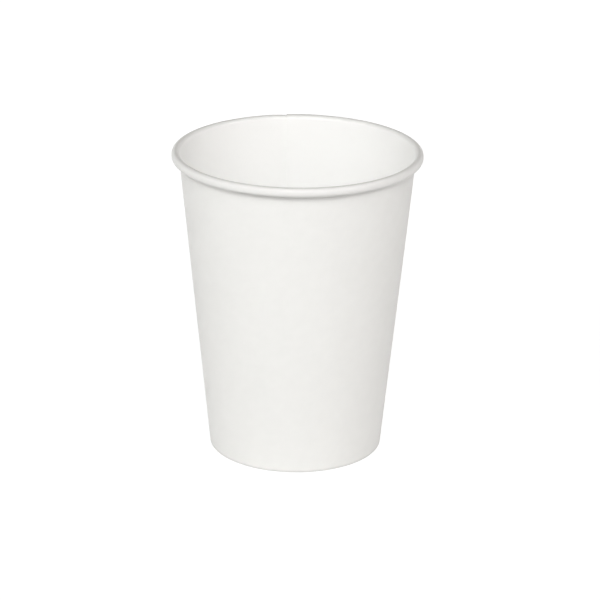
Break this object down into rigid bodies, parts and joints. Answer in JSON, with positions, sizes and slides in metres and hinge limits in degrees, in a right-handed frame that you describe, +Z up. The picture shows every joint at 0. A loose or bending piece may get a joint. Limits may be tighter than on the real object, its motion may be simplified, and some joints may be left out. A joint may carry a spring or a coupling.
{
  "type": "paper coffee cup",
  "caption": "Plain white single-wall paper cup for hot drinks, with a lapped side seam, an outward rolled rim and a recessed bottom disc sealed into the folded foot.",
  "frame": {"origin": "middle of the foot's ring, on the surface that the cup stands on", "axes": "+Z points up out of the mouth; +Y points at the lapped side seam; +X is to the right when the seam is behind"},
  "size_m": [0.09, 0.09, 0.112],
  "materials": {
    "wall_board": "satin",
    "bottom_board": "satin"
  },
  "bodies": {
    "root": {"sidewall": "wall_board", "bottom_disc": "bottom_board"}
  },
  "joints": []
}
